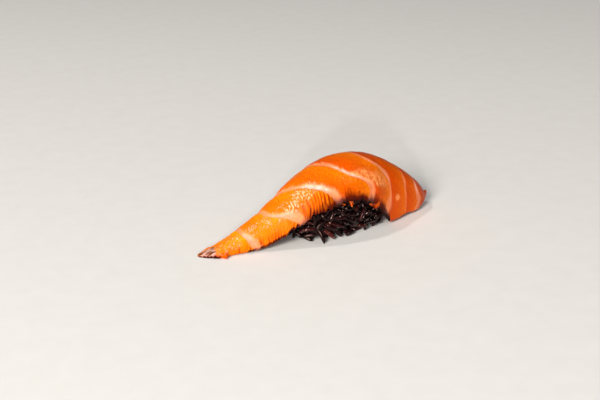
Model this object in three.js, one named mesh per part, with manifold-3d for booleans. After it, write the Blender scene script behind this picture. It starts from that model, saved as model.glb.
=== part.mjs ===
// Salmon nigiri: one long slice of raw salmon draped over a hand-pressed ball of black rice.
// Millimetres, +Z up, the part stands on z = 0. X runs along the slice, from its pointed tail (-X)
// to its broad end (+X); Y runs across it, from the side where the rice shows (-Y) to the back (+Y).
import * as THREE from "three";
import { mergeVertices } from "three/addons/utils/BufferGeometryUtils.js";
import Module from "manifold-3d";

const wasm = await Module();
wasm.setup();

// ---- driving dimensions, mm ---------------------------------------------------------------------
// The slice as it lies. Each station: x, the crown line's y, half width in front of it and behind
// it, crown height, and the height of the hem's lowest point at the front and at the back.
const STATIONS = [
  { x: -62.3, mid: 2.3, front: 0.8, back: 0.7, crown: 1.4, hemFront: 0.0, hemBack: 0.0 },
  { x: -60.2, mid: 1.7, front: 2.8, back: 2.0, crown: 1.9, hemFront: 0.0, hemBack: 0.0 },
  { x: -56.5, mid: 1.2, front: 5.1, back: 4.4, crown: 3.1, hemFront: 0.0, hemBack: 0.0 },
  { x: -49.0, mid: 0.9, front: 6.1, back: 6.2, crown: 6.0, hemFront: 0.2, hemBack: 0.1 },
  { x: -38.0, mid: 0.2, front: 7.8, back: 8.5, crown: 10.4, hemFront: 1.0, hemBack: 0.6 },
  { x: -29.0, mid: -0.2, front: 10.0, back: 10.0, crown: 15.8, hemFront: 5.0, hemBack: 3.4 },
  { x: -16.0, mid: -0.8, front: 13.4, back: 12.2, crown: 25.2, hemFront: 13.2, hemBack: 9.6 },
  { x: -2.0, mid: -0.3, front: 15.9, back: 15.3, crown: 30.1, hemFront: 15.6, hemBack: 12.2 },
  { x: 8.0, mid: 0.2, front: 15.8, back: 15.8, crown: 31.4, hemFront: 14.1, hemBack: 11.6 },
  { x: 17.0, mid: 0.3, front: 15.0, back: 15.1, crown: 30.1, hemFront: 7.6, hemBack: 8.0 },
  { x: 24.0, mid: 0.3, front: 12.9, back: 13.2, crown: 27.6, hemFront: 1.4, hemBack: 4.5 },
  { x: 34.0, mid: 0.2, front: 10.0, back: 10.2, crown: 21.6, hemFront: 1.6, hemBack: 2.6 },
  { x: 42.0, mid: 0.1, front: 7.7, back: 7.4, crown: 15.5, hemFront: 1.0, hemBack: 1.8 },
  { x: 47.0, mid: 0.0, front: 4.9, back: 4.6, crown: 10.4, hemFront: 2.2, hemBack: 2.6 },
  { x: 50.0, mid: 0.0, front: 2.4, back: 2.3, crown: 6.2, hemFront: 3.3, hemBack: 3.7 },
  { x: 51.9, mid: 0.0, front: 0.6, back: 0.7, crown: 5.9, hemFront: 4.5, hemBack: 4.5 },
];
const SLICE_THICKNESS = 4.6; // at the crown, over the rice
const HEM_THICKNESS = 2.4; // where the cut edge hangs down the side
const HEM_SHARE = 0.42; // the hem is never thicker than this share of the half width
const ARCH_POWER = 2.15; // 2 is an ellipse, higher is squarer at the shoulders

// The bands of fat between the muscle flakes. Each row is one band: its x at the places across the
// slice listed in SEAM_ACROSS, -1 at the front hem, 0 on the crown line, 1 at the back hem.
const SEAM_ACROSS = [-1, -0.75, -0.5, -0.25, 0, 0.5, 1];
const SEAMS = [
  [-39.9, -41.2, -42.2, -43.0, -43.6, -44.1, -44.9],
  [-21.8, -24.0, -27.0, -30.9, -32.1, -32.8, -34.6],
  [-6.2, -8.5, -12.2, -16.2, -19.9, -24.9, -27.3],
  [10.1, 11.2, 3.5, -1.4, -4.5, -10.8, -14.3],
  [20.4, 24.1, 23.4, 15.0, 10.6, 3.9, 0.1],
  [32.4, 33.6, 34.1, 33.4, 30.2, 21.5, 16.0],
  [40.0, 42.3, 41.3, 40.5, 39.4, 34.3, 30.5],
];
const SEAM_DEPTH = 0.45; // the flakes stand this much proud of the bands
const SEAM_REACH = 2.2; // half width of the dip along X
const SEAM_FADE_POWER = 8; // the dip keeps its depth to near the hems, then fades out

// The pressed rice under the slice: a rounded block, flat where it stands, measured from its
// waist. Its tail end is rounder than its broad end: 2 is an ellipse, higher is squarer.
const BALL = { x: -0.5, y: -0.3, waist: 7, halfWidth: 13.6, above: 20, below: 11 };
const BALL_TAIL_END = { length: 25, power: 2.1 };
const BALL_BROAD_END = { length: 27.5, power: 2.5 };
const FISH_GAP = 0.3; // clearance between fish and rice

// Cooked grains on the outside of the rice, wherever it isn't shut in under the fish.
const GRAIN = { length: 7, width: 2.2, sunk: 0.3, spacing: 2.3, tries: 4000, seed: 11 };
const GRAIN_WIDTHS = [0.9, 1.15]; // the thinnest and the thickest, as shares of the width
const GRAIN_SHORTENED = [1, 0.85, 0.7]; // shares of the length tried where the fish is near
const GRAIN_TILT = 0.25; // the steepest a nose is lifted or dipped, as a slope
const GRAIN_LOWEST = 0.9; // no grain's middle is nearer to the table
const GRAIN_GAP = FISH_GAP + 0.1; // clearance between fish and grains
const GRAIN_SHOULDER = { along: 0.33, across: 0.41 }; // of the length and the width, from the middle

// mesh fineness
const RING_COUNT = 54; // rings along the slice
const OUTER_STEPS = 24; // steps of a ring over the top, hem to hem
const INNER_STEPS = 12; // steps of a ring along the underside
const LIP = [0.15, 0.5, 0.85]; // where the rounded hem has its points, as shares of its thickness
const BALL_DETAIL = 7; // how often each edge of the starting icosahedron is divided
const WELD = 1e-4; // corners nearer than this are one corner
const TINY = 1e-3; // a shorter length counts as none
const GRAIN_SIDES = 5;
const GRAIN_RINGS = 4;

// ---- the slice's form ---------------------------------------------------------------------------
const KEYS = ["mid", "front", "back", "crown", "hemFront", "hemBack"];
const profile = new THREE.CubicInterpolant(
  STATIONS.map((s) => s.x),
  STATIONS.flatMap((s) => KEYS.map((k) => s[k])),
  KEYS.length,
);
const seamLines = new THREE.CubicInterpolant(
  SEAM_ACROSS,
  SEAM_ACROSS.flatMap((_, i) => SEAMS.map((row) => row[i])),
  SEAMS.length,
);

function stationAt(x) {
  const v = profile.evaluate(x);
  return Object.fromEntries(KEYS.map((k, i) => [k, v[i]]));
}

// How far the surface sinks at x, across from -1 (front hem) to 1 (back hem).
function seamDip(x, across) {
  const fade = 1 - across ** SEAM_FADE_POWER;
  const nearest = Math.min(...[...seamLines.evaluate(across)].map((line) => Math.abs(x - line)));
  return SEAM_DEPTH * fade * Math.exp(-((nearest / SEAM_REACH) ** 2));
}

// One closed ring across the slice at x. grow thickens it at the hems and the underside.
function sliceRing(x, grow = 0) {
  const s = stationAt(x);
  const power = 2 / ARCH_POWER;
  const sides = [
    { sign: -1, width: s.front, low: Math.max(0, s.hemFront) },
    { sign: 1, width: s.back, low: Math.max(0, s.hemBack) },
  ].map((side) => {
    const thickness = Math.min(HEM_THICKNESS, HEM_SHARE * side.width);
    const hem = side.low + thickness / 2;
    const under = Math.max(side.low, s.crown - SLICE_THICKNESS);
    return { ...side, thickness, hem, under, base: Math.min(hem, under) };
  });
  const points = [];
  const half = OUTER_STEPS / 2;
  for (let i = -half; i <= half; i++) {
    const side = sides[i < 0 ? 0 : 1];
    const angle = (Math.abs(i) / half) * (Math.PI / 2);
    const out = side.sign * Math.sin(angle) ** power;
    const up = Math.cos(angle) ** power;
    const dip = seamDip(x, i / half);
    points.push(
      new THREE.Vector3(
        x,
        s.mid + out * (side.width + grow - dip),
        side.hem + up * (s.crown - side.hem - dip),
      ),
    );
  }
  const lip = (side, share) => {
    const top = share < 0.5 ? side.hem : side.base;
    return new THREE.Vector3(
      x,
      s.mid + side.sign * (side.width + grow - share * (side.thickness + 2 * grow)),
      top - (top - side.low + grow) * Math.sqrt(1 - (2 * share - 1) ** 2),
    );
  };
  for (const share of LIP) points.push(lip(sides[1], share));
  const innerHalf = INNER_STEPS / 2;
  for (let i = innerHalf; i >= -innerHalf; i--) {
    const side = sides[i < 0 ? 0 : 1];
    const angle = (Math.abs(i) / innerHalf) * (Math.PI / 2);
    points.push(
      new THREE.Vector3(
        x,
        s.mid + side.sign * Math.sin(angle) ** power * (side.width - side.thickness - grow),
        side.base + Math.cos(angle) ** power * (side.under - side.base - grow),
      ),
    );
  }
  for (const share of [...LIP].reverse()) points.push(lip(sides[0], share));
  return points;
}

// Places of the rings along the slice, closer together towards its two ends.
function ringXs() {
  const start = STATIONS[0].x;
  const length = STATIONS[STATIONS.length - 1].x - start;
  const evenShare = 0.75;
  return Array.from({ length: RING_COUNT }, (_, i) => {
    const t = i / (RING_COUNT - 1);
    const eased = (1 - Math.cos(Math.PI * t)) / 2;
    return start + length * (evenShare * t + (1 - evenShare) * eased);
  });
}

// A closed surface through rings of equal length, each end drawn to its ring's middle.
function loft(rings) {
  const n = rings[0].length;
  const position = rings.flat().flatMap((p) => p.toArray());
  const index = [];
  for (let r = 0; r + 1 < rings.length; r++) {
    for (let i = 0; i < n; i++) {
      const a = r * n + i;
      const b = r * n + ((i + 1) % n);
      index.push(a, b + n, b, a, a + n, b + n);
    }
  }
  for (const [ring, first, flip] of [
    [rings[0], 0, false],
    [rings[rings.length - 1], (rings.length - 1) * n, true],
  ]) {
    const middle = ring.reduce((sum, p) => sum.add(p), new THREE.Vector3()).divideScalar(n);
    const apex = position.length / 3;
    position.push(...middle.toArray());
    for (let i = 0; i < n; i++) {
      const a = first + i;
      const b = first + ((i + 1) % n);
      index.push(...(flip ? [b, a, apex] : [a, b, apex]));
    }
  }
  const geometry = new THREE.BufferGeometry();
  geometry.setAttribute("position", new THREE.Float32BufferAttribute(position, 3));
  geometry.setIndex(index);
  return geometry;
}

// ---- joining and cutting ------------------------------------------------------------------------
function toSolid(geometry) {
  const plain = new THREE.BufferGeometry();
  plain.setAttribute("position", geometry.getAttribute("position"));
  plain.setIndex(geometry.getIndex());
  const merged = mergeVertices(plain, WELD);
  const mesh = new wasm.Mesh({
    numProp: 3,
    vertProperties: new Float32Array(merged.getAttribute("position").array),
    triVerts: new Uint32Array(merged.getIndex().array),
  });
  mesh.merge();
  return new wasm.Manifold(mesh);
}

function toGeometry(solid) {
  const mesh = solid.getMesh();
  const geometry = new THREE.BufferGeometry();
  const points = new Float32Array((mesh.vertProperties.length / mesh.numProp) * 3);
  for (let i = 0; i < points.length / 3; i++) {
    for (let k = 0; k < 3; k++) points[i * 3 + k] = mesh.vertProperties[i * mesh.numProp + k];
  }
  geometry.setAttribute("position", new THREE.BufferAttribute(points, 3));
  geometry.setIndex(new THREE.BufferAttribute(new Uint32Array(mesh.triVerts), 1));
  return geometry;
}

function largestBody(solid) {
  return solid.decompose().reduce((best, body) => (body.volume() > best.volume() ? body : best));
}

// ---- the rice -----------------------------------------------------------------------------------
// The point of the rounded block in a direction from its waist, before the base is cut flat.
function ballPoint(direction) {
  const rise = direction.z > 0 ? BALL.above : BALL.below;
  const { length, power } = direction.x > 0 ? BALL_BROAD_END : BALL_TAIL_END;
  const reach =
    (Math.abs(direction.x) / length) ** power +
    (Math.abs(direction.y) / BALL.halfWidth) ** power +
    (Math.abs(direction.z) / rise) ** power;
  return direction
    .clone()
    .multiplyScalar(reach ** (-1 / power))
    .add(new THREE.Vector3(BALL.x, BALL.y, BALL.waist));
}

function ballGeometry() {
  const geometry = new THREE.IcosahedronGeometry(1, BALL_DETAIL);
  geometry.deleteAttribute("uv");
  geometry.deleteAttribute("normal");
  const merged = mergeVertices(geometry, WELD);
  const position = merged.getAttribute("position");
  for (let i = 0; i < position.count; i++) {
    const p = ballPoint(new THREE.Vector3().fromBufferAttribute(position, i).normalize());
    position.setXYZ(i, p.x, p.y, p.z);
  }
  return merged;
}

// A slab just under the table plane, wider than the rice, to cut the base flat.
function belowTable() {
  const side = 4 * BALL_BROAD_END.length;
  const depth = 4 * BALL.below;
  const slab = new THREE.BoxGeometry(side, side, depth);
  slab.translate(0, 0, -depth / 2);
  return slab;
}

function seededRandom(seed) {
  let state = seed;
  return () => {
    state = (state * 1664525 + 1013904223) % 4294967296;
    return state / 4294967296;
  };
}

// Is a point inside the slice, with its clearance?
function nearSlice(p, clearance) {
  const first = STATIONS[0].x;
  const last = STATIONS[STATIONS.length - 1].x;
  if (p.x < first || p.x > last) return false;
  const ring = sliceRing(p.x, clearance);
  let inside = false;
  for (let i = 0, j = ring.length - 1; i < ring.length; j = i++) {
    const a = ring[i];
    const b = ring[j];
    const crosses = a.z > p.z !== b.z > p.z;
    if (crosses && p.y < ((b.y - a.y) * (p.z - a.z)) / (b.z - a.z) + a.y) inside = !inside;
  }
  return inside;
}

// One grain lying on the rice: long axis in the surface, turned by spin, nose lifted by tilt.
function grainGeometry(centre, outward, spin, tilt, length, width) {
  const geometry = new THREE.SphereGeometry(0.5, GRAIN_SIDES, GRAIN_RINGS);
  geometry.deleteAttribute("uv");
  geometry.deleteAttribute("normal");
  const position = geometry.getAttribute("position");
  for (let i = 0; i < position.count; i++) {
    const p = new THREE.Vector3().fromBufferAttribute(position, i);
    const round = Math.hypot(p.x, p.z);
    const atShoulder = Math.abs(p.y) > TINY && round > TINY; // on neither the middle nor a pole
    const swell = atShoulder ? GRAIN_SHOULDER.across / round : 1;
    const y = atShoulder ? Math.sign(p.y) * GRAIN_SHOULDER.along : p.y;
    position.setXYZ(i, p.x * swell * width, y * length, p.z * swell * width);
  }
  const side = new THREE.Vector3(-outward.y, outward.x, 0).normalize();
  const along = side.applyAxisAngle(outward, spin).addScaledVector(outward, tilt).normalize();
  const turn = new THREE.Quaternion().setFromUnitVectors(new THREE.Vector3(0, 1, 0), along);
  geometry.applyQuaternion(turn);
  geometry.translate(centre.x, centre.y, centre.z);
  return mergeVertices(geometry, WELD);
}

// A grain that keeps clear of the fish and the table, or null where there is no room for it.
function fittedGrain(centre, outward, spin, tilt, width) {
  for (const share of GRAIN_SHORTENED) {
    const geometry = grainGeometry(centre, outward, spin, tilt, GRAIN.length * share, width);
    geometry.computeBoundingBox();
    const lift = Math.max(0, -geometry.boundingBox.min.z);
    if (lift > GRAIN.width) continue;
    geometry.translate(0, 0, lift);
    const position = geometry.getAttribute("position");
    const corners = Array.from({ length: position.count }, (_, i) =>
      new THREE.Vector3().fromBufferAttribute(position, i),
    );
    if (!corners.some((p) => nearSlice(p, GRAIN_GAP))) return geometry;
  }
  return null;
}

function grains() {
  const random = seededRandom(GRAIN.seed);
  const placed = [];
  for (let i = 0; i < GRAIN.tries; i++) {
    const direction = new THREE.Vector3(random() * 2 - 1, random() * 2 - 1, random() * 2 - 1);
    const spin = random() * Math.PI;
    const tilt = GRAIN_TILT * (2 * random() - 1);
    const width = GRAIN.width * THREE.MathUtils.lerp(...GRAIN_WIDTHS, random());
    if (direction.length() > 1) continue;
    direction.normalize();
    const surface = ballPoint(direction);
    const outward = new THREE.Vector3(
      direction.x / BALL_TAIL_END.length,
      direction.y / BALL.halfWidth,
      direction.z / BALL.above,
    ).normalize();
    const centre = surface.addScaledVector(outward, -GRAIN.sunk);
    const s = stationAt(centre.x);
    const hem = centre.y < 0 ? s.hemFront : s.hemBack;
    if (centre.z < GRAIN_LOWEST || centre.z > hem + GRAIN.width) continue;
    if (placed.some((g) => g.centre.distanceTo(centre) < GRAIN.spacing)) continue;
    const geometry = fittedGrain(centre, outward, spin, tilt, width);
    if (geometry) placed.push({ centre, geometry });
  }
  return placed.map((g) => g.geometry);
}

// ---- the two things that make the piece -----------------------------------------------------------
const salmon = new THREE.Mesh(
  loft(ringXs().map((x) => sliceRing(x))),
  new THREE.MeshStandardMaterial({ color: 0xff7a14, roughness: 0.35, metalness: 0 }),
);
salmon.name = "salmon_slice";

const roomForFish = toSolid(loft(ringXs().map((x) => sliceRing(x, FISH_GAP))));
const core = largestBody(
  toSolid(ballGeometry()).subtract(roomForFish).subtract(toSolid(belowTable())),
);
const rice = new THREE.Mesh(
  toGeometry(largestBody(wasm.Manifold.union([core, ...grains().map(toSolid)]))),
  new THREE.MeshStandardMaterial({ color: 0x2a0c16, roughness: 0.3, metalness: 0 }),
);
rice.name = "rice_ball";

// The origin is under the middle of the piece.
const group = new THREE.Group();
group.add(salmon, rice);
const extent = new THREE.Box3().setFromObject(group);
const middle = extent.getCenter(new THREE.Vector3());
group.position.set(-middle.x, -middle.y, -extent.min.z);
export default group;
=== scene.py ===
# %% [markdown]
# Salmon nigiri. A long slice of raw salmon lies over a hand-pressed ball of black rice: its thin
# tail rests on the table at one end, its broad end hangs to just above the table at the other, and
# the rice shows under the front edge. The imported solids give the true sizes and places. This file
# dresses them: a fine skin of fish with its bands of fat and its muscle fibres, and separate glossy
# grains of rice. Everything is in metres in the row's own frame, and lengths on the real food are
# written in millimetres, because that is how a cook would measure it.

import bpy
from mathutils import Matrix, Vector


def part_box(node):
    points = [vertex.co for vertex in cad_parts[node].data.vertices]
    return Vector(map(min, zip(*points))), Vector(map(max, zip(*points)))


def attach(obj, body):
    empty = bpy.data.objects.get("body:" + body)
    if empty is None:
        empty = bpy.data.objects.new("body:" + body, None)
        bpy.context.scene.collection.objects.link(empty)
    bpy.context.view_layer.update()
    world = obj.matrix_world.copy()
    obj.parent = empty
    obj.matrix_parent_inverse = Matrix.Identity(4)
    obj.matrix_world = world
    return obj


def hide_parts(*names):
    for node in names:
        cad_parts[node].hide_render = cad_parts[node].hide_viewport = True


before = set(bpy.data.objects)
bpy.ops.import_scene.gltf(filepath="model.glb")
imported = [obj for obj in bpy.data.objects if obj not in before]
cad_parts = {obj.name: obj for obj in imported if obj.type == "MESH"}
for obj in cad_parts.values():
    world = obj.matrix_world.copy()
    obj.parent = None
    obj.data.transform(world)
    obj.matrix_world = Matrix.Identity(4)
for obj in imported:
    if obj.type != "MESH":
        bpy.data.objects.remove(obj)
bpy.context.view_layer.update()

import math

import bpy
import numpy as np
from mathutils import Matrix, Vector

MM = 0.001

# %% [markdown]
# Colours are picked as sRGB hex values, the way a colour picker shows them. Blender's shaders work
# on linear light, so one function turns them over. A second function adds any shader node with its
# settings and its links, which keeps each material readable as a list of steps. The settings that
# come back often, for sums and for mixing colours, get a name of their own. What is the same all
# over a surface is set on the finished shader's own sockets.

# %% Colour and node helpers
def linear(hex_colour):
    """sRGB hex to a linear RGBA tuple."""
    parts = [int(hex_colour[i:i + 2], 16) / 255 for i in (1, 3, 5)]
    flat = [c / 12.92 if c <= 0.04045 else ((c + 0.055) / 1.055) ** 2.4 for c in parts]
    return (*flat, 1.0)


TIMES = {"operation": "MULTIPLY"}
TIMES_PLUS = {"operation": "MULTIPLY_ADD"}
HELD = {"operation": "MULTIPLY_ADD", "use_clamp": True}  # times, plus, and held from 0 to 1
COLOURS = {"data_type": "RGBA"}


def add(tree, kind, settings, *values, **named):
    """Adds a shader node and gives its first output in use. settings are the node's own
    properties. values go to its sockets in order, and named ones go by the socket's name: each
    is a number, a colour or an output to link."""
    node = tree.nodes.new("ShaderNode" + kind)
    for key, setting in settings.items():
        setattr(node, key, setting)
    sockets = [s for s in node.inputs if s.enabled]
    pairs = list(zip(sockets, values)) + [(node.inputs[key], value) for key, value in named.items()]
    for socket, value in pairs:
        if isinstance(value, bpy.types.NodeSocket):
            tree.links.new(value, socket)
        else:
            socket.default_value = value
    return next(s for s in node.outputs if s.enabled)


def new_material(name):
    """An empty node material with a Principled shader already on its output."""
    material = bpy.data.materials.new(name)
    material.use_nodes = True
    tree = material.node_tree
    tree.nodes.clear()
    shader = tree.nodes.new("ShaderNodeBsdfPrincipled")
    output = tree.nodes.new("ShaderNodeOutputMaterial")
    tree.links.new(shader.outputs[0], output.inputs[0])
    return material, tree, shader


def set_sockets(shader, values):
    """Sets what is the same all over the surface, by the names of the shader's sockets."""
    for name, value in values.items():
        shader.inputs[name].default_value = value


print("helpers ready")

# %% [markdown]
# The slice is a loft: a row of measured cross sections along its length, joined by smooth cubic
# curves. Each station gives the crown line's place and height, how far the slice reaches to the
# front and to the back, and how low each hem hangs. It could be sculpted by hand, but the same
# numbers shape the solid, so a loft lays the fine skin exactly on it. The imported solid's box says
# where the slice lies in the row's frame.

# %% Stations of the slice, mm: x, crown y, front, back, crown height, hem heights front and back
STATIONS = np.array([
    (-62.3, 2.3, 0.8, 0.7, 1.4, 0.0, 0.0),
    (-60.2, 1.7, 2.8, 2.0, 1.9, 0.0, 0.0),
    (-56.5, 1.2, 5.1, 4.4, 3.1, 0.0, 0.0),
    (-49.0, 0.9, 6.1, 6.2, 6.0, 0.2, 0.1),
    (-38.0, 0.2, 7.8, 8.5, 10.4, 1.0, 0.6),
    (-29.0, -0.2, 10.0, 10.0, 15.8, 5.0, 3.4),
    (-16.0, -0.8, 13.4, 12.2, 25.2, 13.2, 9.6),
    (-2.0, -0.3, 15.9, 15.3, 30.1, 15.6, 12.2),
    (8.0, 0.2, 15.8, 15.8, 31.4, 14.1, 11.6),
    (17.0, 0.3, 15.0, 15.1, 30.1, 7.6, 8.0),
    (24.0, 0.3, 12.9, 13.2, 27.6, 1.4, 4.5),
    (34.0, 0.2, 10.0, 10.2, 21.6, 1.6, 2.6),
    (42.0, 0.1, 7.7, 7.4, 15.5, 1.0, 1.8),
    (47.0, 0.0, 4.9, 4.6, 10.4, 2.2, 2.6),
    (50.0, 0.0, 2.4, 2.3, 6.2, 3.3, 3.7),
    (51.9, 0.0, 0.6, 0.7, 5.9, 4.5, 4.5),
])
SLICE_THICKNESS, HEM_THICKNESS, HEM_SHARE = 4.6, 2.4, 0.42
ARCH = 2 / 2.15  # a little squarer at the shoulders than an ellipse

front_edge, rear_edge = STATIONS[:, 1] - STATIONS[:, 2], STATIONS[:, 1] + STATIONS[:, 3]
middle = np.array([STATIONS[0, 0] + STATIONS[-1, 0], front_edge.min() + rear_edge.max()]) / 2
slice_low, slice_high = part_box("salmon_slice")
PLACE = np.array([(slice_low[k] + slice_high[k]) / 2 / MM - middle[k] for k in (0, 1)] + [0.0])


def smooth_curve(x, keys, values):
    """A cubic curve through (keys, values), with free ends."""
    keys, values = np.asarray(keys, float), np.asarray(values, float)
    i1 = np.clip(np.searchsorted(keys, x, side="right"), 1, len(keys) - 1)
    i0 = i1 - 1
    before, after = np.maximum(i0 - 1, 0), np.minimum(i1 + 1, len(keys) - 1)
    first, last = i0 == 0, i1 == len(keys) - 1
    t0, t1 = keys[i0], keys[i1]
    gap_before = t0 - np.where(first, t1, keys[before])
    gap_after = np.where(last, t0, keys[after]) - t1
    a, b = (t1 - t0) / 2 / gap_before, (t1 - t0) / 2 / gap_after
    p = (x - t0) / (t1 - t0)
    return ((-a * p**3 + 2 * a * p**2 - a * p) * values[np.where(first, i1, before)]
            + ((1 + a) * p**3 - (1.5 + 2 * a) * p**2 + (a - 0.5) * p + 1) * values[i0]
            + (-(1 + b) * p**3 + (1.5 + b) * p**2 + 0.5 * p) * values[i1]
            + (b * p**3 - b * p**2) * values[np.where(last, i0, after)])


def station(x):
    """Crown y, front, back, crown height and the two hem heights at every x of an array."""
    return [smooth_curve(x, STATIONS[:, 0], STATIONS[:, k]) for k in range(1, 7)]


def station_at(x):
    """The same six as plain numbers, at one x."""
    return [float(values[0]) for values in station(np.array([x]))]


print("slice runs", STATIONS[0, 0], "to", STATIONS[-1, 0], "mm, shifted by", PLACE.round(2))

# %% [markdown]
# The camera stands 22 degrees above the table and looks across the slice from its front left, about
# half a metre away. A fairly long lens keeps the shape calm. The camera could be aimed with a
# tracking constraint, but three directions worked out from two angles give the same view exactly.

# %% Camera
AZIMUTH, ELEVATION = math.radians(-32.22), math.radians(22.0)
DISTANCE_MM, MM_PER_PIXEL = 520.0, 0.43  # both at the rice
PIXELS = (600, 400)
AIM = (329.41, 226.31)  # the pixel where the slice's own zero lands
SENSOR_MM = 36

right = Vector((math.cos(AZIMUTH), math.sin(AZIMUTH), 0))
back = Vector((math.sin(AZIMUTH) * math.cos(ELEVATION), -math.cos(AZIMUTH) * math.cos(ELEVATION),
               math.sin(ELEVATION)))
up = back.cross(right)
camera = bpy.data.objects.new("camera", bpy.data.cameras.new("camera"))
bpy.context.scene.collection.objects.link(camera)
bpy.context.scene.camera = camera
stand = (back * DISTANCE_MM - right * (AIM[0] - PIXELS[0] / 2) * MM_PER_PIXEL
         + up * (AIM[1] - PIXELS[1] / 2) * MM_PER_PIXEL + Vector(PLACE)) * MM
camera.matrix_world = Matrix.Translation(stand) @ Matrix((right, up, back)).transposed().to_4x4()
camera.data.sensor_width = SENSOR_MM
camera.data.lens = SENSOR_MM * DISTANCE_MM / MM_PER_PIXEL / PIXELS[0]
camera.data.clip_start, camera.data.clip_end = 0.01, 20
print("lens", round(camera.data.lens, 1), "mm")

# %% [markdown]
# A food studio is a pale table and a few soft lights. The table is a matt painted board, which takes
# a soft shadow and no mirror image. The key stands on the left in front and models the fish. Two
# small lamps, one high on the left and one low in front, are mirrored by wet flesh and by the rice
# as small highlights. A weak, wide lamp high on the right keeps the broad end open. All of them
# stand far off, so the table is lit evenly.

# %% Floor and lights
bpy.ops.mesh.primitive_plane_add(size=8, location=(0, 0, 0))
floor = bpy.context.object
floor.name = "floor"
board, tree, shader = new_material("matt_pale_board")
speckle = add(tree, "TexNoise", {}, Scale=0.9 / MM, Detail=2.0)  # grains of paint, 1 mm wide
shade = add(tree, "Mix", COLOURS, speckle, linear("#DCDAD6"), linear("#E3E1DE"))
tree.links.new(shade, shader.inputs["Base Color"])
set_sockets(shader, {"Roughness": 0.85, "Specular IOR Level": 0.15})
floor.data.materials.append(board)


def soft_light(name, azimuth, elevation, distance, size, watts, colour):
    """A square lamp that looks at the rice. Azimuth 0 is in front (-Y), 90 is on the right (+X)."""
    a, e = math.radians(azimuth), math.radians(elevation)
    way = Vector((math.sin(a) * math.cos(e), -math.cos(a) * math.cos(e), math.sin(e)))
    data = bpy.data.lights.new(name, "AREA")
    data.shape, data.size = "SQUARE", size
    data.energy, data.color = watts, linear(colour)[:3]
    lamp = bpy.data.objects.new(name, data)
    lamp.location = way * distance + Vector((0, 0, 0.01))
    lamp.rotation_euler = way.to_track_quat("Z", "Y").to_euler()
    bpy.context.scene.collection.objects.link(lamp)


soft_light("key_softbox", -56, 27, 1.9, 0.60, 49, "#FFFAF4")
soft_light("high_left_lamp", -120, 61, 1.5, 0.09, 5.5, "#FFFFFF")
soft_light("low_front_lamp", -38, 13, 1.5, 0.06, 7.5, "#FFFFFF")
soft_light("right_lamp", 58, 50, 1.8, 0.80, 4.5, "#FFFFFF")
world = bpy.data.worlds.new("studio")
bpy.context.scene.world = world
world.use_nodes = True
set_sockets(world.node_tree.nodes["Background"], {"Color": linear("#F2F0ED"), "Strength": 0.1})
bpy.context.scene.view_settings.view_transform = "Standard"
print("studio ready")

# %% [markdown]
# Salmon muscle is built of flakes, with a band of fat between each two. On a slanted cut the bands
# sweep over the slice in long curves. Each band has two edges, and both are written as places along
# the slice at ten stops across it, from the front hem (-1) over the crown (0) to the back hem (1).
# The edge towards the tail is a clean line, and the other one feathers out along the fibres, by the
# bleed that is given at the front hem and higher up. Strength says how pale the band is at the
# front hem, halfway up and at the crown, heart how white a painted highlight makes its middle where
# it faces the light, and seam how far the skin sinks along it, in mm. The bands could be painted on
# the mesh instead, but an edge that is written down can be moved by a millimetre and is the same on
# every run.

# %% Bands of fat, mm along the slice
ACROSS = [-1, -0.85, -0.7, -0.55, -0.4, -0.25, -0.1, 0.1, 0.5, 1]
BANDS = [
    {"tail": [-41.4, -42.6, -43.3, -43.8, -44.4, -44.6, -44.6, -44.5, -44.9, -46.2],
     "head": [-38.5, -39.4, -39.9, -40.9, -41.6, -42.3, -42.6, -42.7, -43.1, -43.6],
     "bleed": (0.9, 0.5), "strength": (0.85, 0.95, 0.75), "heart_highlight": 0.45, "seam": 0.5},
    {"tail": [-22.7, -24.6, -26.5, -28.0, -30.1, -31.9, -32.8, -33.0, -33.6, -36.0],
     "head": [-20.0, -21.2, -22.9, -24.3, -27.9, -30.0, -31.0, -31.3, -31.9, -33.2],
     "bleed": (1.3, 0.5), "strength": (0.7, 0.95, 0.75), "heart_highlight": 0.4, "seam": 0.6},
    {"tail": [-7.0, -8.0, -9.8, -12.3, -15.3, -17.5, -19.9, -22.3, -25.4, -28.6],
     "head": [-3.2, -4.4, -6.6, -9.4, -12.1, -14.5, -18.0, -20.7, -24.0, -26.0],
     "bleed": (2.0, 0.8), "strength": (0.7, 1.0, 0.75), "heart_highlight": 1.0, "seam": 0.7},
    {"tail": [8.6, 10.3, 9.4, 3.4, 0.2, -1.8, -3.6, -6.8, -11.4, -15.6],
     "head": [11.4, 13.1, 12.9, 6.3, 2.0, -0.2, -1.8, -4.8, -9.4, -12.6],
     "bleed": (0.6, 1.4), "strength": (0.6, 0.85, 0.7), "heart_highlight": 0.7, "seam": 0.35},
    {"tail": [18.2, 20.6, 23.4, 23.3, 19.6, 14.6, 11.6, 8.6, 3.2, -1.0],
     "head": [20.6, 23.2, 24.4, 24.4, 23.4, 17.2, 13.6, 10.4, 5.2, 1.2],
     "bleed": (1.0, 0.7), "strength": (0.6, 0.62, 0.5), "heart_highlight": 0.35, "seam": 0.03},
    {"tail": [32.8, 33.0, 33.1, 33.5, 33.6, 33.3, 31.4, 28.4, 21.3, 15.7],
     "head": [33.4, 33.7, 34.2, 34.8, 34.8, 34.0, 31.9, 28.9, 21.8, 16.3],
     "bleed": (0.3, 0.3), "strength": (0.2, 0.52, 0.2), "heart_highlight": 0.2, "seam": 0.02},
    {"tail": [39.4, 41.2, 41.0, 40.7, 40.8, 40.6, 39.8, 38.6, 34.0, 30.0],
     "head": [42.0, 44.4, 43.5, 42.6, 41.9, 41.2, 40.4, 39.2, 34.6, 31.0],
     "bleed": (0.8, 0.3), "strength": (0.6, 0.9, 0.2), "heart_highlight": 0.6, "seam": 0.02},
]
print(len(BANDS), "bands of fat")

# %% [markdown]
# Nothing grown is regular, so small unevenness is needed all over. Blender's own noise works in the
# shader or on one point at a time, so this one is made with numpy for all points at once: a grid of
# random heights with smooth steps between them. The grid is filled from a fixed seed, so the fish
# comes out the same each time.

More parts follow.
